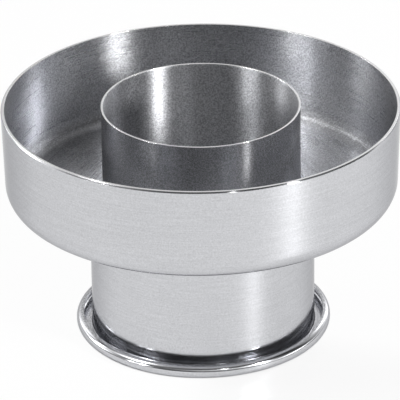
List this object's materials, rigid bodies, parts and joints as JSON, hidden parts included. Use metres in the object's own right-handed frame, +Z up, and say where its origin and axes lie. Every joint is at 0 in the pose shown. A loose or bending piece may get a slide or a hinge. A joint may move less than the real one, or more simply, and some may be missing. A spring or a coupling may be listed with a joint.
{
  "type": "donut cutter",
  "caption": "Round doughnut cutter: a drawn steel cup with a thin ring in its middle, welded to a hollow tubular grip with a rolled palm rim, standing with its cutting edges up.",
  "frame": {"origin": "centre of the flat ring under the palm rim that the part stands on", "axes": "+Z up along the axis of the cup, ring and grip, towards the cutting edges; +X and +Y are any two square directions"},
  "size_m": [0.08, 0.08, 0.0486],
  "materials": {
    "cup_steel": "satin, brushed round the axis",
    "ring_steel": "bright, brushed round the axis",
    "grip_steel": "satin, brushed round the axis",
    "weld_steel": "rippled weld metal"
  },
  "bodies": {
    "root": {"cutting_cup": "cup_steel", "hole_ring": "ring_steel", "grip_tube": "grip_steel", "ring_weld_seam": "weld_steel", "grip_weld_seam": "weld_steel"}
  },
  "joints": []
}
